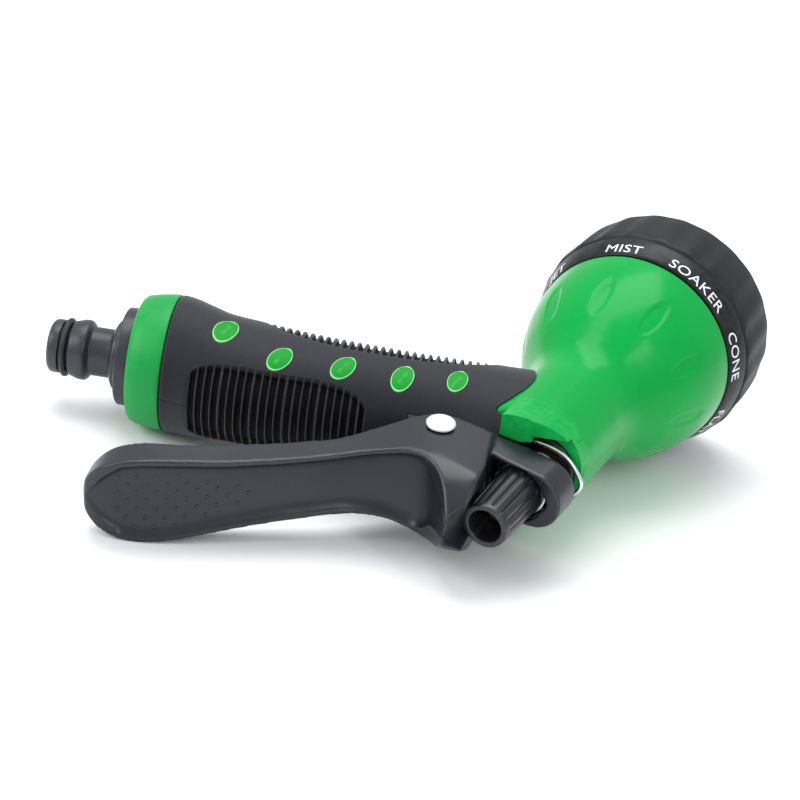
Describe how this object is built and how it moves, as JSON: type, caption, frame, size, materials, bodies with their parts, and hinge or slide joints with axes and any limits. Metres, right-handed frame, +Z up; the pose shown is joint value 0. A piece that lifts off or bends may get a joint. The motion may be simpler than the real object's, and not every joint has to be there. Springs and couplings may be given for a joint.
{
  "type": "hose spray nozzle",
  "caption": "Pistol-grip garden hose nozzle with a rear lever, a turning spray pattern dial, a fluted flow knob and a quick-connect hose tail.",
  "frame": {"origin": "centre of the bounding box in plan, on the table it lies on", "axes": "+X along the handle from the hose end, +Y toward the spray side, +Z up with the nozzle lying on its side"},
  "size_m": [0.205, 0.1532, 0.0697],
  "materials": {
    "shell_green": "gloss",
    "ring_green": "satin",
    "leaf_green": "matt",
    "grip_rubber": "matt",
    "black_plastic": "satin",
    "dial_black": "satin",
    "seal_rubber": "matt",
    "steel": "bright",
    "brass": "turned",
    "acetal": "natural"
  },
  "bodies": {
    "body": {"body_shell": "shell_green", "handle_end_ring": "ring_green", "grip_sleeve": "grip_rubber", "leaf_inset_l1": "leaf_green", "leaf_inset_r1": "leaf_green", "leaf_inset_l2": "leaf_green", "leaf_inset_r2": "leaf_green", "leaf_inset_l3": "leaf_green", "leaf_inset_r3": "leaf_green", "leaf_inset_l4": "leaf_green", "leaf_inset_r4": "leaf_green", "leaf_inset_l5": "leaf_green", "leaf_inset_r5": "leaf_green", "hose_coupling": "black_plastic", "coupling_o_ring": "seal_rubber", "coupling_washer": "seal_rubber", "inlet_filter": "acetal", "pivot_pin": "steel", "pivot_pin_cap": "steel", "valve_seat": "acetal", "return_spring": "steel", "gland_nut": "black_plastic", "stem_o_ring": "seal_rubber", "gland_collar": "acetal", "outlet_seal": "seal_rubber", "detent_spring": "steel", "dial_washer": "acetal", "dial_screw": "steel"},
    "lever": {"lever": "black_plastic"},
    "stem": {"thrust_washer": "steel", "valve_stem": "brass", "valve_plunger": "brass", "plunger_seal": "seal_rubber"},
    "knob": {"flow_knob": "black_plastic"},
    "bail": {"lock_wire": "steel"},
    "ball": {"detent_ball": "steel"},
    "dial": {"dial_label_ring": "dial_black", "dial_grip": "dial_black", "dial_rotor": "dial_black", "dial_face_plate": "dial_black", "insert_mist": "shell_green", "insert_soaker": "shell_green", "insert_cone": "shell_green", "insert_jet": "shell_green", "insert_flat": "shell_green", "insert_shower": "shell_green", "insert_centre": "shell_green", "insert_angle": "shell_green", "dial_cap": "shell_green"}
  },
  "joints": [
    {"name": "lever_pivot", "type": "hinge", "parent": "body", "child": "lever", "pos_m": [0.01253, -0.0375, 0.02136], "axis": [0.0647, 0.1108, -0.9917], "range_deg": [0, 12], "stiffness_Nm_per_rad": 0.9, "springref_deg": -8.59},
    {"name": "stem_slide", "type": "slide", "parent": "body", "child": "stem", "axis": [-0.3558, -0.926, -0.1266], "range_m": [0, 0.0066], "deforming": ["return_spring"]},
    {"name": "knob_turn", "type": "hinge", "parent": "stem", "child": "knob", "pos_m": [0.03218, -0.05146, 0.02108], "axis": [-0.3558, -0.926, -0.1266], "range_deg": [0, 720]},
    {"name": "dial_turn", "type": "hinge", "parent": "body", "child": "dial", "pos_m": [0.06712, 0.05202, 0.03492], "axis": [0.3558, 0.926, 0.1266], "continuous": true},
    {"name": "bail_swing", "type": "hinge", "parent": "body", "child": "bail", "pos_m": [0.03081, -0.02827, 0.02358], "axis": [0.0647, 0.1108, -0.9917], "range_deg": [0, 8]},
    {"name": "detent_click", "type": "slide", "parent": "body", "child": "ball", "axis": [-0.3558, -0.926, -0.1266], "range_m": [0, 0.0008], "stiffness_N_per_m": 300, "springref_m": -0.001, "deforming": ["detent_spring"]}
  ],
  "couplings": [
    {"joint": "stem_slide", "follows": "lever_pivot", "m_per_rad": 0.0314}
  ]
}
